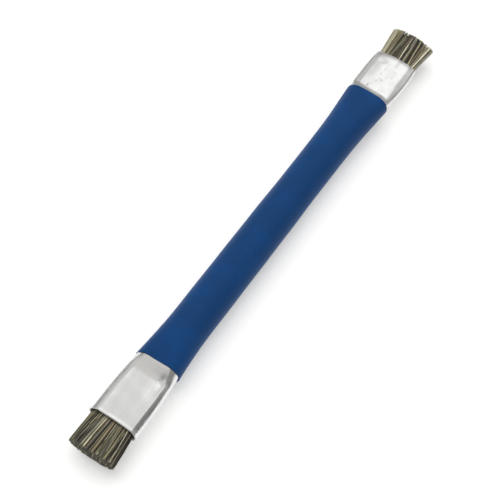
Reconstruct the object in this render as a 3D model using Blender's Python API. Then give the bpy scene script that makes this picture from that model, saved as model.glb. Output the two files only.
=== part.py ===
"""Double-ended bench cleaning brush.

A round aluminium tube is pressed flat at both ends, each end round a tuft of bristles
that is set in resin, and a plastic sleeve shrunk over its middle is the grip. Lengths
are in metres. +X runs along the brush to its longer tuft, and +Z is up as it lies on a
bench, with the sleeve's underside at zero height.
"""

import math
import random
from collections import namedtuple

import bmesh
import bpy
from mathutils import Vector

# Handle tube, before its ends are pressed
TUBE_LENGTH = 0.1400
TUBE_DIAMETER = 0.0100
TUBE_WALL = 0.0004

# Near end: thickness between the dies, length of the dies, and the run back to round
NEAR_PRESS_THICKNESS = 0.0051
NEAR_PRESS_LENGTH = 0.0070
NEAR_BLEND_LENGTH = 0.0265

# Far end, the same
FAR_PRESS_THICKNESS = 0.0050
FAR_PRESS_LENGTH = 0.0055
FAR_BLEND_LENGTH = 0.0316

# Mouths: the near one is flared a little, the far one is crimped in
NEAR_MOUTH_INSET = -0.00008
NEAR_MOUTH_TAPER = 0.0010
FAR_MOUTH_INSET = 0.00020
FAR_MOUTH_TAPER = 0.0036

# Grip sleeve: bare metal left at each end, wall, and the clearance over the tube
NEAR_BARE_LENGTH = 0.0186
FAR_BARE_LENGTH = 0.0164
SLEEVE_WALL = 0.00015
SLEEVE_GAP = 0.00010

# Broken edges of the tube's mouths and of the sleeve's ends
EDGE_BREAK = 0.00010

# Bristles: how far the tufts stand out, and how much wider (splay) and thicker (swell)
# they are at their tips than where they leave the resin
NEAR_TUFT_LENGTH = 0.0093
NEAR_TUFT_SPLAY = 0.0018
NEAR_TUFT_SWELL = -0.0001
FAR_TUFT_LENGTH = 0.0112
FAR_TUFT_SPLAY = 0.0024
FAR_TUFT_SWELL = 0.0008

# Resin that holds them: recess behind the mouth, slice fused to the bristles, plug
MOUTH_RECESS = 0.0010
RESIN_SLICE_LENGTH = 0.0025
RESIN_PLUG_LENGTH = 0.0060
RESIN_GAP = 0.00030

# Bristle pattern: strands across the width and through the thickness of a tuft
STRAND_COLUMNS = 29
STRAND_ROWS = 8
STRAND_WIDTH_SHARE = 0.62
STRAND_TIP_SHARE = 0.60
STRAND_LEAN_SHARE = 0.26
TUFT_CROWN_SHARE = 0.07
TUFT_ROUGH_SHARE = 0.09
SEED = 22

# Mesh density
RING_FACETS = 32
BLEND_STEPS = 10
TAPER_STEPS = 3
CLOSEST_RINGS = 0.00020
SHARP_ANGLE = math.radians(35)

# Where the brush lies: centred over the origin, on the underside of its sleeve
CENTRE_X = (NEAR_TUFT_LENGTH - FAR_TUFT_LENGTH) / 2
AXIS_HEIGHT = TUBE_DIAMETER / 2 + SLEEVE_GAP + SLEEVE_WALL

End = namedtuple(
    "End",
    "name turn press_thickness press_length blend_length mouth_inset mouth_taper "
    "bare_length tuft_length tuft_splay tuft_swell",
)

NEAR = End(
    "near",
    math.pi,
    NEAR_PRESS_THICKNESS,
    NEAR_PRESS_LENGTH,
    NEAR_BLEND_LENGTH,
    NEAR_MOUTH_INSET,
    NEAR_MOUTH_TAPER,
    NEAR_BARE_LENGTH,
    NEAR_TUFT_LENGTH,
    NEAR_TUFT_SPLAY,
    NEAR_TUFT_SWELL,
)
FAR = End(
    "far",
    0.0,
    FAR_PRESS_THICKNESS,
    FAR_PRESS_LENGTH,
    FAR_BLEND_LENGTH,
    FAR_MOUTH_INSET,
    FAR_MOUTH_TAPER,
    FAR_BARE_LENGTH,
    FAR_TUFT_LENGTH,
    FAR_TUFT_SPLAY,
    FAR_TUFT_SWELL,
)


def clear_scene():
    """Removes whatever the open file holds."""
    for item in list(bpy.data.objects):
        bpy.data.objects.remove(item, do_unlink=True)


def material(name, colour, metallic, roughness):
    """One plain finish."""
    made = bpy.data.materials.new(name)
    made.use_nodes = True
    shader = made.node_tree.nodes["Principled BSDF"]
    shader.inputs["Base Color"].default_value = (*colour, 1.0)
    shader.inputs["Metallic"].default_value = metallic
    shader.inputs["Roughness"].default_value = roughness
    made.diffuse_color = (*colour, 1.0)
    return made


def add_object(name, bm, finish, parent, smooth):
    """Turns a bmesh into a named object under its parent, with its faces pointing out."""
    bmesh.ops.recalc_face_normals(bm, faces=bm.faces)
    mesh = bpy.data.meshes.new(name)
    bm.to_mesh(mesh)
    bm.free()
    mesh.materials.append(finish)
    if smooth:
        mesh.shade_smooth()
        mesh.set_sharp_from_angle(angle=SHARP_ANGLE)
    item = bpy.data.objects.new(name, mesh)
    bpy.context.collection.objects.link(item)
    item.parent = parent
    return item


def add_guide(name, location, turn, parent):
    """An empty that carries pieces: the whole brush, or one of its mouths."""
    guide = bpy.data.objects.new(name, None)
    guide.location = location
    guide.rotation_euler = (0.0, 0.0, turn)
    guide.parent = parent
    bpy.context.collection.objects.link(guide)
    return guide


def ease(share):
    """Smooth step from 0 to 1."""
    share = min(max(share, 0.0), 1.0)
    return share * share * (3 - 2 * share)


def flat_width(thickness):
    """Width of a pressed section's flats: its girth stays that of the round tube."""
    return math.pi * (TUBE_DIAMETER - thickness) / 2


def pressed(end, depth):
    """The tube's thickness, and how far its surface is drawn in, behind a mouth."""
    rise = ease((depth - end.press_length) / end.blend_length)
    thickness = end.press_thickness + (TUBE_DIAMETER - end.press_thickness) * rise
    inset = end.mouth_inset * (1 - ease(depth / end.mouth_taper))
    return thickness, inset


def ring(x, thickness, offset):
    """One cross-section: two half circles joined by flats, moved out by an offset.

    The facets touch the true section, so facing rings of two pieces stay parallel.
    """
    half_flat = flat_width(thickness) / 2
    radius = (thickness / 2 + offset) / math.cos(math.pi / RING_FACETS)
    points = []
    for index in range(RING_FACETS):
        angle = (index + 0.5) * 2 * math.pi / RING_FACETS
        side = math.copysign(half_flat, math.cos(angle))
        points.append(Vector((x, side + radius * math.cos(angle), radius * math.sin(angle))))
    return points


def ring_depths(end, start, stop):
    """Depths behind a mouth at which a lofted piece has its cross-sections."""
    marks = [end.mouth_taper * step / TAPER_STEPS for step in range(TAPER_STEPS + 1)]
    marks += [
        end.press_length + end.blend_length * step / BLEND_STEPS
        for step in range(BLEND_STEPS + 1)
    ]
    depths = [start]
    for mark in sorted(marks):
        if depths[-1] + CLOSEST_RINGS < mark < stop - CLOSEST_RINGS:
            depths.append(mark)
    return depths + [stop]


def end_rings(end, start, stop, offset, edge_break):
    """Cross-sections behind one mouth, with x as minus the depth."""
    rings = []
    if edge_break:
        thickness, inset = pressed(end, start)
        rings.append(ring(-start, thickness, offset - inset - edge_break))
    for depth in ring_depths(end, start + edge_break, stop):
        thickness, inset = pressed(end, depth)
        rings.append(ring(-depth, thickness, offset - inset))
    return rings


def full_rings(near_start, far_start, offset, edge_break=0.0):
    """Cross-sections of a piece that runs from near one mouth to near the other."""
    near_stop = NEAR.press_length + NEAR.blend_length
    far_stop = FAR.press_length + FAR.blend_length
    near = end_rings(NEAR, near_start, near_stop, offset, edge_break)
    far = end_rings(FAR, far_start, far_stop, offset, edge_break)
    for points in near:
        for point in points:
            point.x = -TUBE_LENGTH / 2 - point.x
    for points in far:
        for point in points:
            point.x = TUBE_LENGTH / 2 + point.x
    return near + far[::-1]


def loft(rings, hollow):
    """Joins the cross-sections in turn, and closes the piece on itself or with caps."""
    bm = bmesh.new()
    loops = [[bm.verts.new(point) for point in points] for points in rings]
    following = loops[1:] + loops[:1] if hollow else loops[1:]
    for first, second in zip(loops, following):
        for i in range(RING_FACETS):
            bm.faces.new((first[i - 1], first[i], second[i], second[i - 1]))
    if not hollow:
        bmesh.ops.holes_fill(bm, edges=bm.edges, sides=0)
    return bm


def handle_tube(finish, parent):
    """The tube: one length, open at both mouths, with both ends pressed flat."""
    outer = full_rings(0.0, 0.0, 0.0, EDGE_BREAK)
    inner = full_rings(0.0, 0.0, -TUBE_WALL)
    return add_object("handle_tube", loft(outer + inner[::-1], True), finish, parent, True)


def grip_sleeve(finish, parent):
    """The sleeve, shrunk over the round middle and over the start of both flares."""
    inner = full_rings(NEAR_BARE_LENGTH, FAR_BARE_LENGTH, SLEEVE_GAP)
    outer = full_rings(NEAR_BARE_LENGTH, FAR_BARE_LENGTH, SLEEVE_GAP + SLEEVE_WALL, EDGE_BREAK)
    return add_object("grip_sleeve", loft(outer + inner[::-1], True), finish, parent, True)


def resin_plug(end, finish, parent):
    """The resin behind the bristles' own slice, which fills the pressed end."""
    start = MOUTH_RECESS + RESIN_SLICE_LENGTH + RESIN_GAP
    rings = end_rings(end, start, start + RESIN_PLUG_LENGTH, -TUBE_WALL - RESIN_GAP, 0.0)
    return add_object(end.name + "_resin_plug", loft(rings, False), finish, parent, False)


def fill_section(across, through, width, thickness):
    """Maps a unit square's point into a section with round sides.

    A row keeps its height, and its points spread over the section's width there.
    """
    radius = thickness / 2
    z = through * radius
    half_width = (width - thickness) / 2 + math.sqrt(max(radius * radius - z * z, 0.0))
    return across * half_width, z


def cell_marks(count):
    """Edges of the strands between -1 and 1, with a gap on both sides of each."""
    pitch = 2 / count
    marks = [-1.0]
    for index in range(count):
        middle = -1 + (index + 0.5) * pitch
        marks.append(middle - STRAND_WIDTH_SHARE * pitch / 2)
        marks.append(middle + STRAND_WIDTH_SHARE * pitch / 2)
    return marks + [1.0]


def root_section(end):
    """Width and thickness of a tuft where it leaves the resin, inside the mouth."""
    draw_in = TUBE_WALL + RESIN_GAP + max(end.mouth_inset, 0.0)
    thickness = end.press_thickness - 2 * draw_in
    return flat_width(end.press_thickness) + thickness, thickness


def resin_slice(bm, end):
    """The slice of resin, whose face is a grid of cells with a gap round each strand.

    Returns the face of each strand's cell, with its place in the unit square.
    """
    width, thickness = root_section(end)
    columns = cell_marks(STRAND_COLUMNS)
    rows = cell_marks(STRAND_ROWS)
    grid = []
    for through in rows:
        places = [fill_section(across, through, width, thickness) for across in columns]
        grid.append([bm.verts.new((-MOUTH_RECESS, y, z)) for y, z in places])
    roots = []
    for r in range(len(rows) - 1):
        for c in range(len(columns) - 1):
            corners = (grid[r][c], grid[r][c + 1], grid[r + 1][c + 1], grid[r + 1][c])
            face = bm.faces.new(corners)
            if r % 2 and c % 2:
                across = (columns[c] + columns[c + 1]) / 2
                through = (rows[r] + rows[r + 1]) / 2
                roots.append((face, across, through))
    rim = [edge for edge in bm.edges if edge.is_boundary]
    walls = bmesh.ops.extrude_edge_only(bm, edges=rim)["geom"]
    for vert in [item for item in walls if isinstance(item, bmesh.types.BMVert)]:
        vert.co.x -= RESIN_SLICE_LENGTH
    bmesh.ops.holes_fill(bm, edges=bm.edges, sides=0)
    return roots


def raise_strand(bm, root, end, chance):
    """Extrudes one cell of the resin's face into a straight strand that thins to its tip.

    The lean at the tip stays under half the gap to the next strand, so none cross.
    """
    face, across, through = root
    across += chance.uniform(-STRAND_LEAN_SHARE, STRAND_LEAN_SHARE) * 2 / STRAND_COLUMNS
    through += chance.uniform(-STRAND_LEAN_SHARE, STRAND_LEAN_SHARE) * 2 / STRAND_ROWS
    through = min(max(through, -1.0), 1.0)
    width, thickness = root_section(end)
    y, z = fill_section(across, through, width + end.tuft_splay, thickness + end.tuft_swell)
    short = TUFT_CROWN_SHARE * across**4 + TUFT_ROUGH_SHARE * chance.random()
    tip = Vector((end.tuft_length * (1 - short), y, z))
    middle = face.calc_center_median()
    cap = bmesh.ops.extrude_discrete_faces(bm, faces=[face])["faces"][0]
    for vert in cap.verts:
        vert.co = tip + (vert.co - middle) * STRAND_TIP_SHARE


def bristles(end, finish, parent):
    """A tuft and the slice of resin that it grows from, as one closed body."""
    bm = bmesh.new()
    chance = random.Random(SEED + len(end.name))
    for root in resin_slice(bm, end):
        raise_strand(bm, root, end, chance)
    return add_object(end.name + "_bristles", bm, finish, parent, False)


def main():
    """Builds the brush from its tube outwards."""
    clear_scene()
    aluminium = material("bare_aluminium", (0.80, 0.80, 0.81), 1.0, 0.30)
    plastic = material("blue_sleeve", (0.016, 0.066, 0.205), 0.0, 0.48)
    hair = material("mixed_bristle", (0.115, 0.098, 0.062), 0.0, 0.55)
    resin = material("setting_resin", (0.060, 0.052, 0.040), 0.0, 0.35)
    brush = add_guide("brush_axis", (CENTRE_X, 0.0, AXIS_HEIGHT), 0.0, None)
    handle_tube(aluminium, brush)
    grip_sleeve(plastic, brush)
    for end, reach in ((NEAR, -TUBE_LENGTH / 2), (FAR, TUBE_LENGTH / 2)):
        mouth = add_guide(end.name + "_mouth", (reach, 0.0, 0.0), end.turn, brush)
        bristles(end, hair, mouth)
        resin_plug(end, resin, mouth)
    bpy.context.view_layer.update()


main()
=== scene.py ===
"""The looks of a double-ended bench cleaning brush.

Fine surfaces and finishes of the aluminium tube with its two pressed ends, the blue grip
sleeve, the two tufts of mixed bristles and the resin that they stand in. Lengths are in
metres, +X runs to the longer tuft and +Z is up.
"""

import math
from collections import namedtuple

import bpy
import numpy as np
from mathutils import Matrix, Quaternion, Vector


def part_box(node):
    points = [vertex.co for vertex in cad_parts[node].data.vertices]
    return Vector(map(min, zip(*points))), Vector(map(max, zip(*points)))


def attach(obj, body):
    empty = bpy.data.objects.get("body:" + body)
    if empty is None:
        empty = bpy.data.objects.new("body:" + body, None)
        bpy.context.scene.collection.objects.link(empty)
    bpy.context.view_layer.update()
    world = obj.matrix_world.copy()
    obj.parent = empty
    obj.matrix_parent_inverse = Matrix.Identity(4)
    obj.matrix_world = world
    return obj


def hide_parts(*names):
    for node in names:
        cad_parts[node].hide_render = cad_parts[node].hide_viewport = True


bl_info = {
    "name": "Bench brush workshop",
    "version": (1, 0, 0),
    "blender": (4, 5, 0),
    "location": "View3D > Sidebar > Bench brush",
    "description": "Builds the looks of a double-ended cleaning brush",
    "category": "Object",
}

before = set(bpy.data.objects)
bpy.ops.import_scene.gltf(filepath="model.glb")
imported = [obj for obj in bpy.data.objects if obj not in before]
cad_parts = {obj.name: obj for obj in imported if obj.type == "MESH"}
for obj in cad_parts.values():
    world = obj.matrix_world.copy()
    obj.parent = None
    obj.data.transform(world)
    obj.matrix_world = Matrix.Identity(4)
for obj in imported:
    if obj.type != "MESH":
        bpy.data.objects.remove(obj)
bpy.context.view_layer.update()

MM = 0.001
SEED = 22

# Places read from the solids
TUBE_LOW, TUBE_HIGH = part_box("handle_tube")
SLEEVE_LOW, SLEEVE_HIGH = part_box("grip_sleeve")
TUBE_DIAMETER = TUBE_HIGH.z - TUBE_LOW.z
AXIS_HEIGHT = (TUBE_HIGH.z + TUBE_LOW.z) / 2
GIRTH = math.pi * TUBE_DIAMETER

End = namedtuple("End", "index name mouth inward")
NEAR = End(0, "near", TUBE_LOW.x, 1)
FAR = End(1, "far", TUBE_HIGH.x, -1)
Strands = namedtuple("Strands", "across through upper aim lane clump")

# Turns round the tube, from its +Y side over the top
TOP = 0.25
UNDERSIDE = 0.75

# Mesh density: faces round each piece, the spacing of its rows, how many panel lengths have
# fine rows, and the angles from which edges are sharp
TUBE_STEPS = 256
SLEEVE_STEPS = 144
RESIN_STEPS = 96
RESIN_ROWS = 14
HAIR_SIDES = 5
LIP_STEPS = 5
FINE_STEP = 0.16 * MM
SLEEVE_STEP = 0.45 * MM
PLAIN_STEP = 2.0 * MM
FINE_REACH = (1.5, 1.4)
SHARP_EDGE = math.radians(40)
SHARP_RESIN = math.radians(50)

# A mouth's rim: its depth, its full half width and the run over which it fades. Then how
# deep a mouth's skew and bulge reach, and the share of the lip that the saw left dull
RIM_DEPTH = 2.2 * MM
RIM_HALF = 5.3 * MM
RIM_FADE = 2.6 * MM
MOUTH_RUN = 5.0 * MM
CUT_SHARE = 0.3

# Power by which a panel's sides draw together past its end
PANEL_CLOSE = 0.7

# Ripples of the metal: their height, and each wave's rate along, rate round and start
RIPPLE_HEIGHT = 0.004 * MM
RIPPLES = ((1300, 400, 0), (700, -1100, 1), (250, 1900, 2))

# Dents in the near metal's upper side, in mm: depth behind the mouth, place towards -Y,
# half length, half width and how deep, negative for a ridge
NEAR_DENTS = (
    (6.0, 7.1, 14.0, 1.1, -0.29),
    (6.0, -6.2, 14.0, 1.2, -0.16),
    (5.0, -4.6, 9.0, 0.9, -0.14),
    (6.0, -5.5, 12.0, 0.40, 0.08),
    (15.1, 4.2, 1.8, 1.4, 0.23),
    (12.4, 3.8, 3.0, 1.6, 0.14),
    (16.8, -4.6, 2.2, 0.9, 0.14),
    (16.9, -2.9, 1.2, 0.6, 0.05),
    (10.5, 2.8, 4.0, 0.16, 0.016),
    (14.8, 3.0, 0.25, 0.25, 0.05),
    (17.3, 0.8, 0.12, 1.9, 0.025),
)

# The same in the far metal
FAR_DENTS = (
    (6.0, 7.0, 14.0, 1.0, -0.34),
    (6.0, -6.6, 14.0, 1.1, -0.17),
    (15.0, -6.4, 4.0, 1.3, -0.14),
    (5.0, 5.9, 14.0, 1.3, 0.26),
    (1.0, -7.0, 6.5, 3.0, 0.14),
    (4.0, -5.0, 9.0, 2.2, 0.20),
    (2.0, 0.9, 2.6, 0.8, 0.10),
    (5.6, 2.0, 0.8, 0.9, 0.08),
    (5.3, -0.9, 1.2, 0.5, 0.07),
    (3.5, -2.5, 0.8, 1.2, 0.13),
    (4.9, 0.3, 0.5, 0.6, 0.08),
    (13.7, -2.1, 0.25, 0.25, 0.14),
    (11.2, -0.9, 0.35, 0.20, 0.08),
    (9.9, -0.4, 0.25, 0.25, 0.08),
    (10.0, 0.3, 0.25, 0.25, 0.10),
    (8.4, 1.0, 0.35, 0.20, 0.08),
    (7.5, 2.3, 0.35, 0.20, 0.08),
    (8.0, -1.0, 0.30, 0.25, 0.08),
)

# The sleeve's ends: the run that is shifted, a wave and an even shift, and tables of more
# shifts: place round the sleeve, half width and shift towards +X, the last two in mm
SLEEVE_END_RUN = 4 * MM
NEAR_END_WAVE = 0.06 * MM
FAR_END_SHIFT = -0.12 * MM
NEAR_END_SHIFTS = ((0.0, 2.5, 0.05), (0.5, 3.5, 0.80), (UNDERSIDE, 5.0, 0.80))
FAR_END_SHIFTS = ((TOP, 2.5, 0.22), (0.5, 3.5, 0.15))

# The sleeve's slight waves and its waist, whose place is from its middle
SLEEVE_WAVE = 0.015 * MM
SLEEVE_WAVE_RATE = 410
WAIST_PLACE = 17 * MM
WAIST_REACH = 10 * MM
WAIST_DEPTH = 0.12 * MM

# The resin's face: its rise at the wall, the power of the radius that it follows, its
# clearance from the wall, its smallest ring, and its lumps' height and rates
RESIN_DRAW = 0.25 * MM
RESIN_POWER = 6
RESIN_CLEARANCE = 0.02 * MM
RESIN_EYE = 0.06
RESIN_LUMPS = 0.05 * MM
LUMP_RATES = (40, 9)

# How strands stand, in shares of half the tuft's width and thickness: a root's part of its
# cell, the start and run of the upper side, how flat clumps are, how they lean and draw
# together, the share of strays and their spread, and the tips' jitter
ROOT_CELL = (0.1, 0.9)
UPPER_RISE = (-0.2, 0.5)
CLUMP_FLATNESS = 2
LEAN = (0.012, 0.08)
PINCH = 0.35
PINCH_THROUGH = 0.4
STRAY_SHARE = 0.09
STRAY_SPREAD = 0.07
JITTER = (0.012, 0.04)

# Shape of the tips' lens, how ragged and rounded the ends are, and a strand's bow, depth in
# the resin and range of thickness
TIP_LENS = 0.30
TIP_RAGGED = (0.020, 0.035)
TIP_ROUND = 0.02
BOW = 0.05 * MM
ROOT_DEPTH = 0.3 * MM
GIRTH_RANGE = (0.75, 1.15)

# A strand's rings from root to tip: places of the last five as shares of its reach, the
# thickness of all seven, and the painted light on the first six, low near the resin as
# painted shade under the mouth's lip
RING_PLACES = (0.035, 0.08, 0.5, 0.975, 1.0)
RING_GIRTHS = (1.0, 1.0, 1.0, 0.97, 0.92, 0.84, 0.70)
RING_PAINTED_LIGHT = (0.32, 0.52, 0.82, 1.0, 1.0, 1.0)

# Bristle colours as linear values, and how many strands have each where no lane gives one
HAIR_SHADES = {
    "black": (0.026, 0.026, 0.029),
    "brown": (0.078, 0.058, 0.037),
    "olive": (0.190, 0.178, 0.108),
    "grey": (0.300, 0.281, 0.222),
    "tan": (0.350, 0.302, 0.190),
    "cream": (0.600, 0.568, 0.415),
}
MIXED_SHARES = (0.24, 0.20, 0.24, 0.12, 0.12, 0.08)

# Luck is a strand's own and its clump's in these parts. OWN_SHARE of the strands have a
# mixed shade of their own, and the rest their clump's
LUCK_PARTS = (0.7, 0.3)
OWN_SHARE = 0.7

# Spread of lightness among strands, clumps and tips, and how much paler strays are
STRAND_SPREAD = 0.42
CLUMP_SPREAD = 0.10
TIP_SPREAD = 0.2
STRAY_GAIN = 1.5

# Painted shade deep in the tuft: the light left deep in its upper half, and where its top
# and its sides start to be in the full painted light, with the runs to there
DEEP_PAINTED_LIGHT = 0.30
TOP_RISE = (0.45, 0.45)
SIDE_RISE = (0.88, 0.08)

# Cut tips: the share of the strand's colour that they keep, and a grey-green tint added to
# it, partly the tips' own tint and partly painted light on their dim cut faces
CUT_KEEP = 0.70
CUT_TINT_AND_LIGHT = (0.100, 0.105, 0.092)

# Lanes in each tuft's upper side, from +Y: where a lane starts at the roots and the tips, as
# shares of the width, its shade, and the luck that gives it
NEAR_LANES = (
    (0.0, 0.0, "olive", 0.48),
    (0.03, 0.012, "black", 0.72),
    (0.165, 0.08, "cream", 0.56),
    (0.185, 0.1, "black", 0.56),
    (0.205, 0.12, "grey", 0.72),
    (0.235, 0.155, "black", 0.56),
    (0.25, 0.175, "olive", 0.64),
    (0.32, 0.262, "cream", 0.56),
    (0.345, 0.285, "black", 0.64),
    (0.39, 0.325, "grey", 0.48),
    (0.425, 0.365, "black", 0.88),
    (0.48, 0.425, "tan", 0.72),
    (0.575, 0.555, "brown", 0.64),
    (0.61, 0.6, "tan", 0.64),
    (0.64, 0.63, "brown", 0.48),
    (0.665, 0.65, "olive", 0.56),
    (0.76, 0.745, "tan", 0.72),
    (0.805, 0.785, "brown", 0.72),
    (0.845, 0.828, "grey", 0.64),
    (0.858, 0.842, "brown", 0.72),
    (0.905, 0.9, "tan", 0.64),
    (0.918, 0.915, "black", 0.64),
    (0.955, 0.958, "cream", 0.64),
    (0.968, 0.972, "brown", 0.56),
)
FAR_LANES = (
    (0.0, 0.0, "cream", 0.88),
    (0.05, 0.062, "brown", 0.72),
    (0.068, 0.078, "tan", 0.72),
    (0.155, 0.188, "black", 0.72),
    (0.185, 0.21, "olive", 0.64),
    (0.235, 0.3, "grey", 0.64),
    (0.275, 0.355, "black", 0.72),
    (0.31, 0.395, "brown", 0.32),
    (0.53, 0.47, "cream", 0.56),
    (0.555, 0.48, "brown", 0.72),
    (0.65, 0.555, "grey", 0.64),
    (0.685, 0.585, "olive", 0.56),
    (0.725, 0.615, "brown", 0.56),
    (0.77, 0.65, "black", 0.72),
    (0.845, 0.7, "olive", 0.48),
    (0.88, 0.745, "black", 0.64),
    (0.905, 0.78, "tan", 0.72),
    (0.955, 0.93, "cream", 0.72),
    (0.97, 0.965, "brown", 0.64),
    (0.985, 0.985, "cream", 0.88),
)

# Camera that sees the brush as the photograph does
CAMERA_PLACE = Vector((-0.21126, -0.06338, 0.31958))
CAMERA_AIM = Vector((-0.00981, -0.00028, 0.00525))
CAMERA_ROLL = math.radians(17.3635)
CAMERA_LENS = 107.088

# Lamps: the main one high on the +Y side, and a lower one opposite that fills
LAMP_NAMES = ("main_lamp", "fill_lamp")
LAMP_PLACES = (Vector((0.06, 0.37, 0.83)), Vector((-0.15, -0.68, 0.28)))

# Where the room's light changes: a ray's Z up the walls, at the ceiling and at the ground,
# and its Y and X at the dim side
WALL_RISE = (0.10, 0.52)
CEILING_RISE = (0.76, 0.90)
GROUND_DROP = (-0.02, 0.0)
DIM_Y = (-0.45, -0.15)
DIM_X = (0.44, 0.62)
GROUND_LEVEL = 0.9

# Half the floor's side, and its points along a side
FLOOR_HALF = 3.0
FLOOR_POINTS = 13


def single(name, description, default, **rules):
    """A value that a user may change."""
    return bpy.props.FloatProperty(name=name, description=description, default=default, **rules)


def several(name, description, *values, **rules):
    """Values that a user may change together."""
    return bpy.props.FloatVectorProperty(
        name=name, description=description, size=len(values), default=values, **rules
    )


def length(name, description, size):
    """A size, given in millimetres."""
    return single(name, description, size * MM, unit="LENGTH")


def lengths(name, description, near, far):
    """A size of both ends or lamps, given in millimetres."""
    return several(name, description, near * MM, far * MM, unit="LENGTH")


def colour(name, description, *values):
    """A colour, as linear values."""
    return several(name, description, *values, subtype="COLOR", min=0, max=1)


def angles(name, description, *degrees):
    """Angles, given in degrees."""
    return several(name, description, *np.radians(degrees).tolist(), unit="ROTATION")


class BrushSizes(bpy.types.PropertyGroup):
    """Sizes of the brush that its solids don't give directly."""

    wall: length("Tube wall", "Thickness of the aluminium", 0.40)
    lip: length("Lip", "Run of the mouths' rounded edges", 0.14)
    lip_drop: length("Lip drop", "Drop of the mouths' rounded edges", 0.16)
    thickness: lengths("Pressed thickness", "Thickness between the dies", 5.1, 5.0)
    die: lengths("Die", "Length pressed to an even thickness", 7.0, 5.5)
    blend: lengths("Blend", "Run from there back to round", 26.5, 31.6)
    inset: lengths("Mouth inset", "How far a mouth is drawn in", -0.08, 0.20)
    taper: lengths("Mouth taper", "Depth of that", 1.0, 3.6)
    rim: lengths("Rim", "How far the mouth's rim turns in", 0.0, 0.38)
    mouth_skew: lengths("Mouth skew", "Extra length towards -Y", 0.0, 0.6)
    mouth_bulge: lengths("Mouth bulge", "Extra length in the middle", -0.25, 0.35)
    panel: lengths("Panel", "Length of the flat panel", 14.0, 13.9)
    panel_rise: lengths("Panel rise", "Run from the panel's end to round", 4.5, 3.0)
    panel_half: lengths("Panel half width", "Half the flat panel's width", 4.58, 3.95)
    panel_crown: lengths("Panel crown", "How far its edges drop", 0.0, 0.13)
    panel_side: lengths("Panel side", "How far it lies towards -Y", 0.37, -0.35)
    panel_sink: lengths("Panel sink", "How far it is pressed in", 0.18, 0.12)
    panel_slope: lengths("Panel slope", "How far it rises over its length", 0.15, 0.15)
    panel_fade: lengths("Panel fade", "Run over which its edge fades", 1.9, 2.4)
    sleeve_bed: length("Sleeve bed", "Its clearance over the metal", 0.02)
    sleeve_edge: lengths("Sleeve edge", "Run of its rounded edge", 0.05, 0.30)
    sleeve_drop: lengths("Sleeve drop", "Drop of its rounded edge", 0.05, 0.15)
    sleeve_side: length("Sleeve side", "Extra thickness towards -Y", 0.20)
    hair: length("Bristle", "Thickness of a bristle", 0.22)
    clumps: bpy.props.IntProperty(name="Clumps", description="Clumps in a tuft", default=420)
    hairs: bpy.props.IntProperty(name="Bristles", description="Bristles in a tuft", default=1300)
    recess: length("Recess", "Depth of the resin's face", 1.0)
    resin: length("Resin", "Depth behind its face", 2.5)
    root_width: lengths("Roots", "Width of a tuft at its roots", 11.8, 11.1)
    root_thickness: lengths("Root thickness", "Thickness of a tuft at its roots", 3.9, 3.0)
    tip_width: lengths("Tips", "Width of a tuft at its tips", 12.7, 13.3)
    tip_thickness: lengths("Tip thickness", "Thickness of a tuft at its tips", 4.2, 4.2)
    root_side: lengths("Roots' side", "How far the roots lie towards -Y", 0.08, 0.20)
    tip_side: lengths("Tips' side", "How far the tips lie towards -Y", 0.42, 0.25)


class BrushColours(bpy.types.PropertyGroup):
    """Colours of the brush and of the floor that it lies on."""

    metal: colour("Aluminium", "Bare tube", 0.86, 0.86, 0.865)
    sleeve: colour("Sleeve", "Grip sleeve", 0.0066, 0.0510, 0.1740)
    bloom: colour("Sleeve bloom", "Soft shine at the sleeve's edges", 0.45, 0.65, 1.00)
    resin: colour("Resin", "Setting resin", 0.030, 0.027, 0.020)
    floor: colour("Floor", "Floor and backdrop", 0.80, 0.80, 0.80)


class StudioLight(bpy.types.PropertyGroup):
    """Light round the brush: a pale room with one wide soft window, and two soft lamps."""

    window: several("Window", "Direction of its middle", 0.71, -0.04, 0.70, subtype="DIRECTION")
    window_edge: angles("Window edge", "Where it starts to fade and has faded", 10, 29)
    window_level: single("Window level", "Its radiance", 1.20, min=0)
    walls: several("Walls", "Radiance at foot, higher up and overhead", 0.26, 0.64, 0.68, min=0)
    dim_side: single("Dim side", "Share of light left there", 0.36, min=0)
    tint_room: colour("Room tint", "Colour of the room's light", 1.00, 0.99, 0.955)
    tint_window: colour("Window tint", "Colour of the window's light", 1.00, 1.00, 0.985)
    lens: several("Dim patch", "The camera's direction", -0.45, -0.28, 0.85, subtype="DIRECTION")
    lens_edge: angles("Dim patch edge", "Where it starts to fade and has faded", 12, 32)
    lens_level: single("Dim patch level", "Its radiance", 0.20, min=0)
    lamp_power: several("Lamps", "Main and fill, in watts", 5.0, 1.5, min=0)
    lamp_size: lengths("Lamp sizes", "Their sides", 1000.0, 700.0)
    floor_glow: single("Floor glow", "Lift to white where it is seen", 0.34, min=0)


def rise(value, start, run):
    """3s^2 - 2s^3, a smooth step, for the share s of a run past its start, from 0 to 1."""
    share = np.clip((value - start) / run, 0.0, 1.0)
    return share * share * (3 - 2 * share)


def hump(distance, reach):
    """exp(-(d/r)^2), a round hump that fades over a reach."""
    return np.exp(-((distance / reach) ** 2))


def depth_behind(end, x):
    """How deep a place x lies behind an end's mouth."""
    return (x - end.mouth) * end.inward


def pressed(x, sizes):
    """Thickness and mouth inset of the tube at a place x along it.

    From a mouth the thickness is the die's, then eases up to the tube's diameter; the
    inset eases from the mouth's own to zero over the taper.
    """
    thickness = TUBE_DIAMETER
    inset = 0.0
    for end in (NEAR, FAR):
        depth = depth_behind(end, x)
        i = end.index
        pinched = sizes.thickness[i]
        opened = pinched + (TUBE_DIAMETER - pinched) * rise(depth, sizes.die[i], sizes.blend[i])
        thickness = np.minimum(thickness, opened)
        inset = inset + sizes.inset[i] * (1 - rise(depth, 0, sizes.taper[i]))
    return thickness, inset


def half_flat(thickness):
    """Half the width of a pressed section's flats, whose girth is the round tube's."""
    return (GIRTH - math.pi * thickness) / 4


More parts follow.
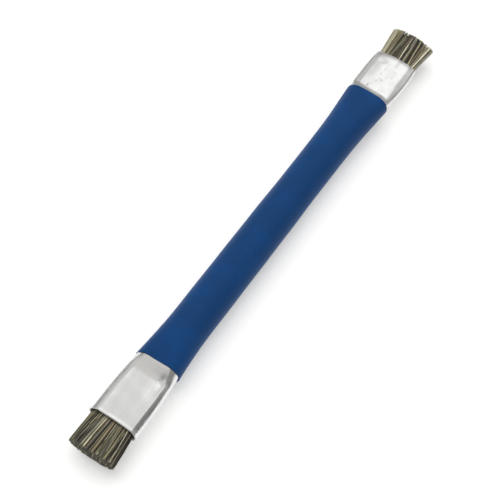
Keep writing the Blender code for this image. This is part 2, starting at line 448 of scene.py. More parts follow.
def section(thickness, offset, turn):
    """y and z on a pressed section, a share of the girth round from its +Y side.

    A quarter is an arc of radius t/2 and then a flat, together a quarter of the girth
    whatever the thickness t is, so a point of the metal keeps its own line along the tube
    as that is pressed. The offset moves the point out along its normal.
    """
    place = np.mod(turn * 4, 4)
    quadrant = np.minimum(np.floor(place), 3)
    share = place - quadrant
    share = np.where(quadrant % 2 == 1, 1 - share, share)
    along = share * GIRTH / 4
    radius = thickness / 2
    angle = np.minimum(along / radius, math.pi / 2)
    past = along - radius * angle
    y = half_flat(thickness) + (radius + offset) * np.cos(angle) - past
    y = y * np.where((quadrant == 0) | (quadrant == 3), 1, -1)
    z = (radius + offset) * np.sin(angle) * np.where(quadrant < 2, 1, -1)
    return y, z


def surface(x, offset, turn, sizes):
    """Points at x along the tube and a share of the girth round it, offset from its skin."""
    thickness, inset = pressed(x, sizes)
    y, z = section(thickness, offset - inset, turn)
    return np.stack(np.broadcast_arrays(x, y, z + AXIS_HEIGHT), axis=-1)


def from_line(turn, line):
    """Distance round the metal from a line along it, signed."""
    return (np.mod(turn - line + 0.5, 1) - 0.5) * GIRTH


def panel_relief(end, depth, thickness, girth, sizes):
    """How far the metal stands off its plain section where the dies made a flat panel.

    The panel is a plane from the mouth to its own length, then rises to the tube. At an
    angle a round the section's arc the plane lies at h/cos a, out to the panel's edge;
    past the edge the difference from the arc eases away. The rim turns in towards the
    mouth along a parabola, r(1 - d/D)^2 at a depth d, and eases away to both sides.
    """
    i = end.index
    radius = thickness / 2
    flat = half_flat(thickness)
    along = rise(depth, sizes.panel[i], sizes.panel_rise[i])
    plane = sizes.thickness[i] / 2 - sizes.panel_sink[i]
    plane = plane + sizes.panel_slope[i] * depth / sizes.panel[i]
    plane = plane - sizes.panel_crown[i] * (girth / sizes.panel_half[i]) ** 2
    height = plane + (radius - plane) * along
    width = sizes.panel_half[i] + np.sign(girth) * sizes.panel_side[i]
    edge = np.maximum(width - flat, 0.0) * (1 - along) ** PANEL_CLOSE
    past = np.maximum(np.abs(girth) - flat, 0.0)
    angle = np.minimum(past, edge) / radius
    relief = height / np.cos(angle) - radius
    rim = sizes.rim[i] * (1 - np.clip(depth / RIM_DEPTH, 0, 1)) ** 2
    rim = rim * (1 - rise(np.abs(girth), RIM_HALF, RIM_FADE))
    return relief * (1 - rise(past, edge, sizes.panel_fade[i])) - rim


def dents(table, depth, girth):
    """The sum of a table of elliptical hollows, each a hump of its own size."""
    total = 0.0
    for place, across, long, wide, deep in table:
        hollow = hump(depth - place * MM, long * MM) * hump(girth - across * MM, wide * MM)
        total = total - deep * MM * hollow
    return total


def ripple(x, girth):
    """A faint unevenness of thin metal: crossed waves, sin(a x + b g + c) each."""
    waves = [np.sin(x * along + girth * around + start) for along, around, start in RIPPLES]
    return sum(waves) * RIPPLE_HEIGHT


def metal_relief(x, turn, sizes):
    """How far the metal stands off its plain pressed section, everything together."""
    thickness, _ = pressed(x, sizes)
    girth = from_line(turn, TOP)
    total = ripple(x, girth)
    for end, table in ((NEAR, NEAR_DENTS), (FAR, FAR_DENTS)):
        depth = depth_behind(end, x)
        bare = depth < 2 * sizes.panel[end.index]
        for line in (TOP, UNDERSIDE):
            around = from_line(turn, line)
            panel = panel_relief(end, depth, thickness, around, sizes)
            total = total + np.where(bare & (np.abs(around) <= GIRTH / 4), panel, 0.0)
        total = total + dents(table, depth, girth)
    return total


def stations(low, high, step):
    """Evenly spaced places strictly between two ends."""
    count = max(int(round((high - low) / step)), 2)
    return np.linspace(low, high, count + 1)[1:-1]


def curved_edge(edge, inward, offset, run, drop):
    """x and offset from a wall's outer face round to its end, along a quarter ellipse."""
    turn = np.linspace(0, math.pi / 2, LIP_STEPS + 1)
    return edge + inward * run * (1 - np.sin(turn)), offset - drop * (1 - np.cos(turn))


def wall_outline(low, high, outer_x, outside, inside, low_edge, high_edge):
    """x and offset round a wall's closed outline: out, over its end, back and over."""
    inner_x = stations(low, high, PLAIN_STEP)
    low_x, low_offset = curved_edge(low, 1, outside, *low_edge)
    high_x, high_offset = curved_edge(high, -1, outside, *high_edge)
    outer_x = outer_x[(outer_x > low_x[0]) & (outer_x < high_x[0])]
    x = np.concatenate([low_x[::-1], outer_x, high_x, [high], inner_x[::-1], [low]])
    flat = np.full(len(outer_x), outside)
    back = np.full(len(inner_x) + 2, inside)
    return x[:, None], np.concatenate([low_offset[::-1], flat, high_offset, back])[:, None]


def grid_faces(rows, columns, closed_rows, closed_columns):
    """Corner numbers of a grid's quads, with its last row or column joined to the first."""
    here = np.arange(rows * columns).reshape(rows, columns)
    beside = np.roll(here, -1, axis=1)
    below = [np.roll(corner, -1, axis=0) for corner in (beside, here)]
    faces = np.stack([here, beside, *below], axis=-1)
    faces = faces[: rows if closed_rows else -1, : columns if closed_columns else -1]
    return faces.reshape(-1, 4)


def capped_faces(rings, sides):
    """Faces of a rod of rings: quads along it, and a cap on its first and its last ring."""
    number = np.arange(rings * sides)[None, :]
    return grid_faces(rings, sides, False, True), number[:, sides - 1 :: -1], number[:, -sides:]


def enclosed(points, faces):
    """Six times the volume that the faces enclose, negative where they point inwards."""
    corners = points[faces]
    normals = np.cross(corners[:, 1:-1], corners[:, 2:])
    return np.einsum("ik,ijk->", corners[:, 0], normals)


def add_piece(name, points, face_sets, finish, sharp=None):
    """Makes an object of arrays of points and faces, with its faces pointing out."""
    points = points.reshape(-1, 3)
    if sum(enclosed(points, faces) for faces in face_sets) < 0:
        face_sets = [faces[:, ::-1] for faces in face_sets]
    counts = np.concatenate([np.full(len(faces), faces.shape[1]) for faces in face_sets])
    corners = np.concatenate([faces.ravel() for faces in face_sets])
    mesh = bpy.data.meshes.new(name)
    mesh.vertices.add(len(points))
    mesh.vertices.foreach_set("co", points.astype(np.float32).ravel())
    mesh.loops.add(len(corners))
    mesh.loops.foreach_set("vertex_index", corners.astype(np.int32))
    mesh.polygons.add(len(counts))
    mesh.polygons.foreach_set("loop_start", (np.cumsum(counts) - counts).astype(np.int32))
    mesh.update(calc_edges=True)
    mesh.shade_smooth()
    if sharp:
        mesh.set_sharp_from_angle(angle=sharp)
    mesh.materials.append(finish)
    item = bpy.data.objects.new(name, mesh)
    bpy.context.scene.collection.objects.link(item)
    return item


def write_points(item, name, kind, field, values):
    """Gives a piece's points the values that its finish reads by name."""
    layer = item.data.attributes.new(name, kind, "POINT")
    layer.data.foreach_set(field, values.astype(np.float32).ravel())


def place_piece(item, slot, *nodes):
    """Seats a piece on the brush's one body, in place of its solids."""
    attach(item, "root")
    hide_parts(*nodes)


def tube_piece(sizes, finish):
    """The metal: a closed wall whose outline runs along the tube, carried round its girth.

    Behind each mouth the points are moved along it, by a skew that grows towards -Y and a
    bulge that is 1 - y^2 over the width.
    """
    low, high = TUBE_LOW.x, TUBE_HIGH.x
    near_stop = low + FINE_REACH[0] * sizes.panel[0]
    far_stop = high - FINE_REACH[1] * sizes.panel[1]
    near = stations(low, near_stop, FINE_STEP)
    plain = stations(near_stop - PLAIN_STEP, far_stop + PLAIN_STEP, PLAIN_STEP)
    far = stations(far_stop, high, FINE_STEP)
    outer = np.sort(np.concatenate([near, plain, far]))
    edges = [(sizes.lip, sizes.lip_drop)] * 2
    x, offset = wall_outline(low, high, outer, 0.0, -sizes.wall, *edges)
    turn = np.arange(TUBE_STEPS)[None, :] / TUBE_STEPS
    points = surface(x, offset + metal_relief(x, turn, sizes), turn, sizes)
    across = points[..., 1] / TUBE_HIGH.y
    for end in (NEAR, FAR):
        moved = 1 - rise(depth_behind(end, points[..., 0]), 0, MOUTH_RUN)
        longer = sizes.mouth_skew[end.index] * (1 - across) / 2
        longer = longer + sizes.mouth_bulge[end.index] * (1 - across**2)
        points[..., 0] -= end.inward * moved * longer
    faces = grid_faces(len(x), TUBE_STEPS, True, True)
    item = add_piece("pressed_tube", points, [faces], finish, SHARP_EDGE)
    cut = np.minimum(x - low, high - x) < CUT_SHARE * sizes.lip
    write_points(item, "cut_end", "FLOAT", "value", np.repeat(cut, TUBE_STEPS))
    return item


def end_shift(table, turn):
    """The sum of a table of shifts of a sleeve's end, each a hump at its place round it."""
    humps = [hump(from_line(turn, place), wide * MM) * far * MM for place, wide, far in table]
    return sum(humps)


def sleeve_piece(sizes, finish):
    """The grip: a closed wall over the metal, with uneven ends and a squeezed waist.

    Its outer face has slight waves, and is thicker towards -Y by that side's -cos.
    """
    low, high = SLEEVE_LOW.x, SLEEVE_HIGH.x
    outside = (SLEEVE_HIGH.z - SLEEVE_LOW.z - TUBE_DIAMETER) / 2
    outer = stations(low, high, SLEEVE_STEP)
    edges = zip(sizes.sleeve_edge, sizes.sleeve_drop)
    x, offset = wall_outline(low, high, outer, outside, sizes.sleeve_bed, *edges)
    turn = np.arange(SLEEVE_STEPS)[None, :] / SLEEVE_STEPS
    around = turn * 2 * math.pi
    near_shift = NEAR_END_WAVE * np.sin(3 * around + 1) + end_shift(NEAR_END_SHIFTS, turn)
    far_shift = FAR_END_SHIFT + end_shift(FAR_END_SHIFTS, turn)
    moved = x + (1 - rise(x, low, SLEEVE_END_RUN)) * near_shift
    moved = moved + (1 - rise(high - x, 0, SLEEVE_END_RUN)) * far_shift
    waves = SLEEVE_WAVE * np.sin(x * SLEEVE_WAVE_RATE + np.sin(around) * 2)
    thicker = sizes.sleeve_side * np.maximum(-np.cos(around), 0.0)
    waist = WAIST_DEPTH * hump(x - (low + high) / 2 - WAIST_PLACE, WAIST_REACH)
    shaped = offset + np.where(offset > outside / 2, waves + thicker - waist, 0.0)
    points = surface(moved, shaped, turn, sizes)
    faces = grid_faces(len(x), SLEEVE_STEPS, True, True)
    return add_piece("shrunk_sleeve", points, [faces], finish, SHARP_EDGE)


def fill_section(across, through, width, thickness):
    """Spreads points of a square from -1 to 1 over a section with round sides.

    A row keeps its height z, and runs between the sides at that height.
    """
    radius = thickness / 2
    z = through * radius
    half = (width - thickness) / 2 + np.sqrt(np.maximum(radius * radius - z * z, 0.0))
    return across * half, z


def resin_piece(end, sizes, finish):
    """The resin's front and body: a bowl-shaped face drawn up at the wall, and a plug.

    A profile of share of the radius against depth is carried round the mouth's section.
    """
    reach = np.linspace(RESIN_EYE, 1, RESIN_ROWS)
    back = sizes.recess + sizes.resin
    front = sizes.recess - RESIN_DRAW * reach**RESIN_POWER
    share = np.concatenate([reach, [1.0], reach[::-1]])[:, None]
    depth = np.concatenate([front, np.full(RESIN_ROWS + 1, back)])[:, None]
    turn = np.arange(RESIN_STEPS)[None, :] / RESIN_STEPS
    x = end.mouth + end.inward * depth
    inside = metal_relief(x, turn, sizes) - sizes.wall - RESIN_CLEARANCE
    points = surface(x, inside, turn, sizes)
    points[..., 1] *= share
    points[..., 2] = AXIS_HEIGHT + (points[..., 2] - AXIS_HEIGHT) * share
    lumps = RESIN_LUMPS * np.sin(turn * LUMP_RATES[0] + share * LUMP_RATES[1]) * (share < 1)
    points[:RESIN_ROWS, :, 0] += lumps[:RESIN_ROWS]
    faces = capped_faces(len(share), RESIN_STEPS)
    return add_piece(end.name + "_resin_face", points, faces, finish, SHARP_RESIN)


def strand_grid(lines, radii):
    """Rings of points round many lines at once: strands by rings by sides by 3.

    A point is the line's own, plus r cos a towards +Y and r sin a towards +Z.
    """
    angle = np.arange(HAIR_SIDES) * 2 * math.pi / HAIR_SIDES
    spokes = np.stack([np.zeros(HAIR_SIDES), np.cos(angle), np.sin(angle)], axis=-1)
    return lines[:, :, None, :] + radii[:, :, None, None] * spokes


def strand_faces(count, rings):
    """The faces of many strands, each a rod with as many rings."""
    start = np.arange(count)[:, None, None] * rings * HAIR_SIDES
    face_sets = capped_faces(rings, HAIR_SIDES)
    return [(faces + start).reshape(-1, faces.shape[1]) for faces in face_sets]


def lane_tips(lanes, share):
    """Where strands' tips go across the tuft, and the lane that each strand is in.

    Shares at the roots are carried to shares at the tips, straight between lanes' starts.
    """
    roots = [lane[0] for lane in lanes]
    tips = [lane[1] for lane in lanes]
    lane = np.clip(np.searchsorted(roots, share, side="right") - 1, 0, len(lanes) - 1)
    return np.interp(share, roots + [1.0], tips + [1.0]), lane


def plan_strands(chance, sizes, lanes, width, thickness):
    """Where a tuft's strands stand and aim, and the middles of the clumps that they form.

    The roots are a grid of jittered points from -1 to 1 both ways, and a strand belongs
    to the clump whose middle is nearest.
    """
    rows = int(round(math.sqrt(sizes.hairs * thickness / width)))
    columns = sizes.hairs // rows
    number = np.arange(rows * columns)
    across = (number % columns + chance.uniform(*ROOT_CELL, len(number))) / columns * 2 - 1
    through = (number // columns + chance.uniform(*ROOT_CELL, len(number))) / rows * 2 - 1
    middle = chance.uniform(-1, 1, (sizes.clumps, 2))
    beside = (across[:, None] - middle[:, 0]) * width
    above = (through[:, None] - middle[:, 1]) * thickness * CLUMP_FLATNESS
    clump = np.argmin(beside**2 + above**2, axis=1)
    aim, lane = lane_tips(lanes, (1 - across) / 2)
    return Strands(across, through, rise(through, *UPPER_RISE), aim, lane, clump), middle


def strand_tips(chance, strands, middle):
    """Where the tips stand, from -1 to 1 both ways, and how far each strand strays.

    In the upper side a tip follows its lane's aim. Everywhere it is drawn to its clump's
    middle and leans with the clump, and a few strands stray across the others.
    """
    clump = strands.clump
    count, clumps = len(clump), len(middle)
    lean = [chance.normal(0, spread, clumps)[clump] for spread in LEAN]
    pinch = chance.uniform(0.0, PINCH, clumps)[clump]
    strays = chance.random(count) < STRAY_SHARE
    stray = np.where(strays, chance.normal(0, STRAY_SPREAD, count), 0.0)
    jitter = [chance.normal(0, spread, count) for spread in JITTER]
    across = strands.across + (1 - 2 * strands.aim - strands.across) * strands.upper
    across = across + (middle[clump, 0] - strands.across) * pinch + lean[0] + jitter[0] + stray
    pull = (middle[clump, 1] - strands.through) * pinch * PINCH_THROUGH
    through = strands.through + pull + lean[1] + jitter[1] + np.abs(stray)
    return np.clip(across, -1, 1), np.clip(through, -1, 1), stray


def strand_lines(chance, end, sizes, roots, tips):
    """Points along each strand, from inside the resin to its tip, and its radius there.

    A strand runs straight but for a slight bow, 4r(1 - r) of a chance distance at a share
    r of its reach. The tips fill a lens that is thinner at the tuft's sides.
    """
    i = end.index
    root_y, root_z = roots
    count = len(root_y)
    low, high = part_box(end.name + "_bristles")
    reach = abs((low if end.inward > 0 else high).x - end.mouth)
    lens = sizes.tip_thickness[i] * (1 - TIP_LENS * tips[0] ** 2) - sizes.hair
    tip_y, tip_z = fill_section(*tips, sizes.tip_width[i] - sizes.hair, lens)
    ragged = np.abs(chance.normal(0, TIP_RAGGED[i], count)) + TIP_ROUND * tips[0] ** 4
    steps = np.array([-sizes.recess - ROOT_DEPTH, 0.0, *RING_PLACES])[None, :]
    run = np.maximum(steps, 0.0)
    out = np.where(steps > 0, run * reach * (1 - ragged)[:, None], steps)
    bow = chance.normal(0, BOW, (count, 2))[:, None, :] * (4 * run * (1 - run))[..., None]
    y = (root_y - sizes.root_side[i])[:, None] * (1 - run)
    y = y + (tip_y - sizes.tip_side[i])[:, None] * run + bow[..., 0]
    z = root_z[:, None] * (1 - run) + tip_z[:, None] * run + bow[..., 1] + AXIS_HEIGHT
    girths = sizes.hair / 2 * chance.uniform(*GIRTH_RANGE, count)
    lines = np.stack([end.mouth - end.inward * out, y, z], axis=-1)
    return lines, girths[:, None] * np.array(RING_GIRTHS)


def strand_shades(chance, strands, lanes, stray, clumps):
    """A colour for each strand: its lane's where its luck is small enough, or a mixed one.

    Its lightness is exp(n), with n drawn for the strand and for its clump.
    """
    clump = strands.clump
    count = len(clump)
    luck = chance.random(count) * LUCK_PARTS[0] + chance.random(clumps)[clump] * LUCK_PARTS[1]
    luck = np.where(stray == 0, luck / np.maximum(strands.upper, 0.01), 1.0)
    own = np.where(chance.random(count) < OWN_SHARE, np.arange(count), clump)
    mixed = chance.choice(len(HAIR_SHADES), count, p=MIXED_SHARES)[own]
    names = list(HAIR_SHADES)
    palette = np.array([HAIR_SHADES[name] for name in names])
    of_lane = np.array([names.index(lane[2]) for lane in lanes])[strands.lane]
    enough = np.array([lane[3] for lane in lanes])[strands.lane]
    shade = palette[np.where(luck < enough, of_lane, mixed)]
    shade[stray != 0] *= STRAY_GAIN
    lightness = chance.normal(0, STRAND_SPREAD, count)
    lightness = lightness + chance.normal(0, CLUMP_SPREAD, clumps)[clump]
    return shade * np.exp(lightness)[:, None]


def ring_colours(chance, strands, shade):
    """Each ring's colour: the strand's own, with painted shade near the resin and deep in the
    tuft.
    """
    along = np.array(RING_PAINTED_LIGHT)[None, :] * np.ones((len(shade), 1))
    along[:, 4:] *= np.exp(chance.normal(0, TIP_SPREAD, len(shade)))[:, None]
    # Painted shade on strands deep in the upper half, painted light at its top and its sides
    lit = np.maximum(rise(strands.through, *TOP_RISE), rise(np.abs(strands.across), *SIDE_RISE))
    lit = DEEP_PAINTED_LIGHT + (1 - DEEP_PAINTED_LIGHT) * lit
    along[:, :5] *= np.where(strands.through > 0, lit, 1.0)[:, None]
    # Cut tips: the tips' own grey-green tint, raised as painted light on their dim faces
    cut = shade * CUT_KEEP + np.array(CUT_TINT_AND_LIGHT)
    return np.concatenate([shade[:, None, :] * along[:, :, None], cut[:, None, :]], axis=1)


def tuft_piece(end, sizes, lanes, finish):
    """A tuft: tapered strands from the resin to the tips, in lanes and clumps of colours."""
    chance = np.random.default_rng(SEED + end.index)
    root = sizes.root_width[end.index] - sizes.hair, sizes.root_thickness[end.index] - sizes.hair
    strands, middle = plan_strands(chance, sizes, lanes, *root)
    *tips, stray = strand_tips(chance, strands, middle)
    roots = fill_section(strands.across, strands.through, *root)
    lines, radii = strand_lines(chance, end, sizes, roots, tips)
    points = strand_grid(lines, radii)
    item = add_piece(end.name + "_tuft", points, strand_faces(*radii.shape), finish)
    shade = strand_shades(chance, strands, lanes, stray, sizes.clumps)
    rgba = np.ones(points.shape[:3] + (4,))
    rgba[..., :3] = ring_colours(chance, strands, shade)[:, :, None, :]
    write_points(item, "hair_colour", "FLOAT_COLOR", "color", rgba)
    return item


def set_inputs(tree, node, inputs):
    """Sets a node's inputs to values, or links them to other nodes' sockets."""
    for key, value in inputs.items():
        if isinstance(value, bpy.types.NodeSocket):
            tree.links.new(value, node.inputs[key])
        else:
            node.inputs[key].default_value = value


def add_node(tree, kind, inputs=None, **settings):
    """Adds a shader node with its inputs and settings."""
    made = tree.nodes.new(kind)
    for name, value in settings.items():
        setattr(made, name, value)
    set_inputs(tree, made, inputs or {})
    return made


def mix_colours(tree, factor, first, second):
    """A colour between two, by a factor."""
    mix = add_node(tree, "ShaderNodeMix", {0: factor, 6: first, 7: second}, data_type="RGBA")
    return mix.outputs[2]


def mix_values(tree, factor, first, second):
    """A value between two, by a factor."""
    return add_node(tree, "ShaderNodeMix", {0: factor, 2: first, 3: second}).outputs[0]


def maths(tree, operation, first, second):
    """The sum, difference, product or larger of two values."""
    made = add_node(tree, "ShaderNodeMath", {0: first, 1: second}, operation=operation)
    return made.outputs[0]


def ranged(tree, value, low, high, to_low, to_high, kind="LINEAR"):
    """A value carried from one range to another."""
    inputs = {0: value, 1: low, 2: high, 3: to_low, 4: to_high}
    return add_node(tree, "ShaderNodeMapRange", inputs, interpolation_type=kind).outputs[0]


def eased(tree, value, low, high, to_low=0.0, to_high=1.0):
    """The same along a smooth step."""
    return ranged(tree, value, low, high, to_low, to_high, "SMOOTHSTEP")


def shared_group(name, inputs, outputs, fill):
    """A shader node group with float sockets, made and filled when first asked for."""
    if name in bpy.data.node_groups:
        return bpy.data.node_groups[name]
    group = bpy.data.node_groups.new(name, "ShaderNodeTree")
    for label in inputs:
        group.interface.new_socket(label, in_out="INPUT", socket_type="NodeSocketFloat")
    for label in outputs:
        group.interface.new_socket(label, in_out="OUTPUT", socket_type="NodeSocketFloat")
    start = group.nodes.new("NodeGroupInput").outputs
    stop = group.nodes.new("NodeGroupOutput")
    place = add_node(group, "ShaderNodeTexCoord").outputs["Object"]
    set_inputs(group, stop, fill(group, place, start))
    return group


def noise(tree, place, scale, detail):
    """Noise of a scale at a place."""
    inputs = {"Vector": place, "Scale": scale, "Detail": detail}
    return add_node(tree, "ShaderNodeTexNoise", inputs).outputs["Fac"]


def fill_lines(group, place, start):
    """Fine lines along the brush: noise on Object coordinates, stretched along X."""
    inputs = {"X": start["Along"], "Y": start["Across"], "Z": start["Across"]}
    stretch = add_node(group, "ShaderNodeCombineXYZ", inputs).outputs[0]
    scaled = add_node(
        group, "ShaderNodeVectorMath", {0: place, 1: stretch}, operation="MULTIPLY"
    ).outputs[0]
    return {"Lines": ranged(group, noise(group, scaled, 1.0, 3.0), 0.3, 0.7, 0.0, 1.0)}


def fill_marks(group, place, start):
    """Marks of handling: broad cloudy smudges, and small specks that cut into them."""
    smudge = eased(group, noise(group, place, start["Cloud"], 4.0), 0.42, 0.66)
    specks = eased(group, noise(group, place, start["Speck"], 2.0), 0.62, 0.74)
    return {"Smudge": smudge, "Specks": specks}


def new_finish(name):
    """An empty material and its shader."""
    made = bpy.data.materials.new(name)
    made.use_nodes = True
    return made, made.node_tree, made.node_tree.nodes["Principled BSDF"]


def lines_in(tree, along, across):
    """The drawn lines group, with a spacing of its own."""
    group = shared_group("Drawn lines", ("Along", "Across"), ("Lines",), fill_lines)
    inputs = {"Along": along, "Across": across}
    return add_node(tree, "ShaderNodeGroup", inputs, node_tree=group).outputs["Lines"]


def marks_in(tree, cloud, speck):
    """The handling marks group, with scales of its own."""
    group = shared_group("Handling marks", ("Cloud", "Speck"), ("Smudge", "Specks"), fill_marks)
    made = add_node(tree, "ShaderNodeGroup", {"Cloud": cloud, "Speck": speck}, node_tree=group)
    return made.outputs["Smudge"], made.outputs["Specks"]


def bumped(tree, height, distance, strength):
    """The normal of a surface raised by a height, in shares of a distance."""
    inputs = {"Height": height, "Distance": distance, "Strength": strength}
    return add_node(tree, "ShaderNodeBump", inputs).outputs["Normal"]


def shaded(tree, tone, dark, light):
    """A plain colour made darker or lighter by a tone from 0 to 1."""
    return mix_colours(tree, tone, (*dark, 1.0), (*light, 1.0))


def aluminium(colours):
    """Satin drawn aluminium: lines along it, dull smudges, small pits and duller cut ends."""
    made, tree, shader = new_finish("pressed_aluminium")
    lines = lines_in(tree, along=90.0, across=5200.0)
    smudge, specks = marks_in(tree, cloud=420.0, speck=3200.0)
    cut = add_node(tree, "ShaderNodeAttribute", attribute_name="cut_end").outputs["Fac"]
    base = Vector(colours.metal)
    pitted = maths(tree, "SUBTRACT", lines, specks)
    rough = ranged(tree, lines, 0.0, 1.0, 0.20, 0.27)
    rough = maths(tree, "ADD", rough, ranged(tree, smudge, 0.0, 1.0, 0.0, 0.09))
    rough = maths(tree, "ADD", rough, ranged(tree, cut, 0.0, 1.0, 0.0, 0.40))
    inputs = {
        "Base Color": shaded(tree, pitted, base * 0.93, base),
        "Metallic": ranged(tree, cut, 0.0, 1.0, 1.0, 0.25),
        "Roughness": rough,
        "Normal": bumped(tree, pitted, distance=0.001 * MM, strength=0.25),
    }
    set_inputs(tree, shader, inputs)
    return made


def sleeve_plastic(colours):
    """Satin shrunk plastic: a fine grain, faint lines, handled patches and a soft bloom."""
    made, tree, shader = new_finish("satin_blue_plastic")
    lines = lines_in(tree, along=40.0, across=1800.0)
    smudge, specks = marks_in(tree, cloud=120.0, speck=6500.0)
    base = Vector(colours.sleeve)
    grain = maths(tree, "ADD", lines, specks)
    inputs = {
        "Base Color": shaded(tree, smudge, base * 0.92, base * 1.06),
        "Roughness": ranged(tree, smudge, 0.0, 1.0, 0.52, 0.60),
        "Specular IOR Level": 0.09,
        "Sheen Weight": 0.34,
        "Sheen Roughness": 0.35,
        "Sheen Tint": (*colours.bloom, 1.0),
        "Normal": bumped(tree, grain, distance=0.004 * MM, strength=0.5),
    }
    set_inputs(tree, shader, inputs)
    return made


def stiff_hair():
    """Stiff hair: each strand's own colour, with fine lines along it and a dull shine."""
    made, tree, shader = new_finish("stiff_hair")
    own = add_node(tree, "ShaderNodeAttribute", attribute_name="hair_colour").outputs["Color"]
    lines = lines_in(tree, along=150.0, across=9000.0)
    darker = mix_colours(tree, 0.35, own, (0.0, 0.0, 0.0, 1.0))
    inputs = {
        "Base Color": mix_colours(tree, lines, darker, own),
        "Roughness": ranged(tree, lines, 0.0, 1.0, 0.38, 0.55),
        "Specular IOR Level": 0.35,
        "Normal": bumped(tree, lines, distance=0.01 * MM, strength=0.4),
    }
    set_inputs(tree, shader, inputs)
    return made


def resin_finish(colours):
    """Dark set resin: glossy, with cloudy patches and small bubbles."""
    made, tree, shader = new_finish("dark_resin")
    smudge, specks = marks_in(tree, cloud=900.0, speck=3000.0)
    base = Vector(colours.resin)
    inputs = {
        "Base Color": shaded(tree, smudge, base * 0.7, base * 1.4),
        "Roughness": ranged(tree, smudge, 0.0, 1.0, 0.22, 0.42),
        "Normal": bumped(tree, specks, distance=0.05 * MM, strength=0.5),
    }
    set_inputs(tree, shader, inputs)
    return made


def seen_rays(tree):
    """1 for rays from the camera, a mirror or glass, and 0 for the rest."""
    path = add_node(tree, "ShaderNodeLightPath").outputs
    seen = maths(tree, "MAXIMUM", path["Is Camera Ray"], path["Is Glossy Ray"])
    return maths(tree, "MAXIMUM", seen, path["Is Transmission Ray"])


def floor_finish(colours, studio):
    """Plain pale floor, lifted to white where it is seen, so that only shadows show on it."""
    made, tree, shader = new_finish("pale_floor")
    smudge, _ = marks_in(tree, cloud=3.0, speck=60.0)
    base = Vector(colours.floor)
    inputs = {
        "Base Color": shaded(tree, smudge, base * 0.99, base),
        "Roughness": 0.9,
        "Specular IOR Level": 0.0,
        "Emission Color": (1.0, 1.0, 1.0, 1.0),
        "Emission Strength": ranged(tree, seen_rays(tree), 0.0, 1.0, 0.0, studio.floor_glow),
    }
    set_inputs(tree, shader, inputs)
    return made


def patch_of_sky(tree, ray, middle, edge):
    """1 within an angle of a direction, fading to 0 at a wider angle."""
    inputs = {0: ray, 1: Vector(middle).normalized()}
    facing = add_node(tree, "ShaderNodeVectorMath", inputs, operation="DOT_PRODUCT")
    return eased(tree, facing.outputs["Value"], math.cos(edge[1]), math.cos(edge[0]))


def light_room(studio):
    """The world: pale walls that rise to a ceiling, dim towards -Y, and a wide soft window."""
    world = bpy.data.worlds.new("studio")
    world.use_nodes = True
    bpy.context.scene.world = world
    tree = world.node_tree
    ray = add_node(tree, "ShaderNodeTexCoord").outputs["Generated"]
    axes = add_node(tree, "ShaderNodeSeparateXYZ", {0: ray}).outputs
    foot, wall, ceiling = studio.walls
    room = eased(tree, axes["Z"], *WALL_RISE, foot, wall)
    away = eased(tree, axes["Y"], *DIM_Y, 1.0, 0.0)
    behind = eased(tree, axes["X"], *DIM_X, 1.0, 0.0)
    dim = maths(tree, "MULTIPLY", away, behind)
    room = maths(tree, "MULTIPLY", room, ranged(tree, dim, 0.0, 1.0, 1.0, studio.dim_side))
    room = mix_values(tree, eased(tree, axes["Z"], *CEILING_RISE), room, ceiling)
    lens = patch_of_sky(tree, ray, studio.lens, studio.lens_edge)
    room = mix_values(tree, lens, room, studio.lens_level)
    window = patch_of_sky(tree, ray, studio.window, studio.window_edge)
    room = mix_values(tree, window, room, studio.window_level)
    below = ranged(tree, axes["Z"], *GROUND_DROP, 1.0, 0.0)
    room = mix_values(tree, below, room, GROUND_LEVEL)
    tint = mix_colours(tree, window, (*studio.tint_room, 1.0), (*studio.tint_window, 1.0))
    set_inputs(tree, tree.nodes["Background"], {"Strength": room, "Color": tint})


def stand(name, data, place, aim, roll=0.0):
    """Puts a lamp or a camera at a place, turned upright to its aim and then rolled."""
    item = bpy.data.objects.new(name, data)
    item.location = place
    turn = (aim - place).to_track_quat("-Z", "Y") @ Quaternion((0.0, 0.0, 1.0), roll)
    item.rotation_euler = turn.to_euler()
    bpy.context.scene.collection.objects.link(item)
    return item


def add_lamp(name, place, power, size):
    """A large soft square lamp that faces the brush."""
    lamp = bpy.data.lights.new(name, "AREA")
    lamp.energy = power
    lamp.size = size
    stand(name, lamp, place, Vector()).visible_glossy = False


def add_camera():
    """The camera, placed, turned and rolled as the photograph's was."""
    view = bpy.data.cameras.new("photo_camera")
    view.lens = CAMERA_LENS
    view.clip_start = 0.01
    camera = stand("photo_camera", view, CAMERA_PLACE, CAMERA_AIM, CAMERA_ROLL)
    bpy.context.scene.camera = camera


class BENCH_OT_tube(bpy.types.Operator):
    """Builds the pressed aluminium tube."""

    bl_idname = "bench.tube"
    bl_label = "Tube"

    def execute(self, context):
        scene = context.scene
        item = tube_piece(scene.brush_sizes, aluminium(scene.brush_colours))
        place_piece(item, "bare_aluminium", "handle_tube")
        return {"FINISHED"}


class BENCH_OT_sleeve(bpy.types.Operator):
    """Builds the blue grip sleeve."""

    bl_idname = "bench.sleeve"
    bl_label = "Grip sleeve"

    def execute(self, context):
        scene = context.scene
        item = sleeve_piece(scene.brush_sizes, sleeve_plastic(scene.brush_colours))
        place_piece(item, "blue_sleeve", "grip_sleeve")
        return {"FINISHED"}


class BENCH_OT_tufts(bpy.types.Operator):
    """Builds both tufts of mixed bristles."""

    bl_idname = "bench.tufts"
    bl_label = "Tufts"

    def execute(self, context):
        scene = context.scene
        finish = stiff_hair()
        for end, lanes in ((NEAR, NEAR_LANES), (FAR, FAR_LANES)):
            item = tuft_piece(end, scene.brush_sizes, lanes, finish)
            place_piece(item, "mixed_bristle", end.name + "_bristles")
        return {"FINISHED"}


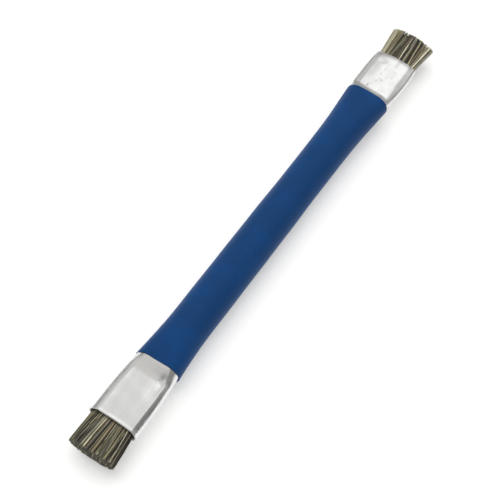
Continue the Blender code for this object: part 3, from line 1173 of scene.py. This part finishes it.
class BENCH_OT_resin(bpy.types.Operator):
    """Builds the resin's faces inside both mouths, and finishes the plugs behind them."""

    bl_idname = "bench.resin"
    bl_label = "Resin"

    def execute(self, context):
        scene = context.scene
        finish = resin_finish(scene.brush_colours)
        for end in (NEAR, FAR):
            item = resin_piece(end, scene.brush_sizes, finish)
            place_piece(item, "setting_resin", end.name + "_bristles")
            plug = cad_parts[end.name + "_resin_plug"]
            plug.material_slots[0].material = finish
        return {"FINISHED"}


class BENCH_OT_stage(bpy.types.Operator):
    """Lays the floor, lights the room and sets the camera."""

    bl_idname = "bench.stage"
    bl_label = "Stage"

    def execute(self, context):
        studio = context.scene.studio_light
        spread = np.linspace(-FLOOR_HALF, FLOOR_HALF, FLOOR_POINTS)
        x, y = np.meshgrid(spread, spread)
        points = np.stack([x, y, np.zeros_like(x)], axis=-1)
        faces = grid_faces(FLOOR_POINTS, FLOOR_POINTS, False, False)
        finish = floor_finish(context.scene.brush_colours, studio)
        floor = add_piece("floor", points, [faces], finish)
        light_room(studio)
        lamps = zip(LAMP_NAMES, LAMP_PLACES, studio.lamp_power, studio.lamp_size)
        for lamp in lamps:
            add_lamp(*lamp)
        add_camera()
        context.scene.view_settings.view_transform = "Standard"
        return {"FINISHED"}


class BENCH_PT_workshop(bpy.types.Panel):
    """Lists the brush's pieces, sizes and colours in the sidebar."""

    bl_idname = "BENCH_PT_workshop"
    bl_label = "Bench brush"
    bl_space_type = "VIEW_3D"
    bl_region_type = "UI"
    bl_category = "Bench brush"

    def draw(self, context):
        for step in STEPS:
            self.layout.operator(step.bl_idname)
        for group, kind in SETTINGS.items():
            column = self.layout.column()
            for name in kind.__annotations__:
                column.prop(getattr(context.scene, group), name)


STEPS = (BENCH_OT_tube, BENCH_OT_sleeve, BENCH_OT_tufts, BENCH_OT_resin, BENCH_OT_stage)
SETTINGS = {"brush_sizes": BrushSizes, "brush_colours": BrushColours, "studio_light": StudioLight}
CLASSES = (*SETTINGS.values(), *STEPS, BENCH_PT_workshop)


def register():
    """Makes the classes and the scene's settings known to Blender."""
    for kind in CLASSES:
        bpy.utils.register_class(kind)
    for name, kind in SETTINGS.items():
        setattr(bpy.types.Scene, name, bpy.props.PointerProperty(type=kind))


def unregister():
    """Takes both away again."""
    for name in SETTINGS:
        delattr(bpy.types.Scene, name)
    for kind in reversed(CLASSES):
        bpy.utils.unregister_class(kind)


def main():
    """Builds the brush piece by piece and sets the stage."""
    register()
    bpy.ops.bench.tube()
    bpy.ops.bench.sleeve()
    bpy.ops.bench.tufts()
    bpy.ops.bench.resin()
    bpy.ops.bench.stage()


if __name__ == "__main__":
    main()
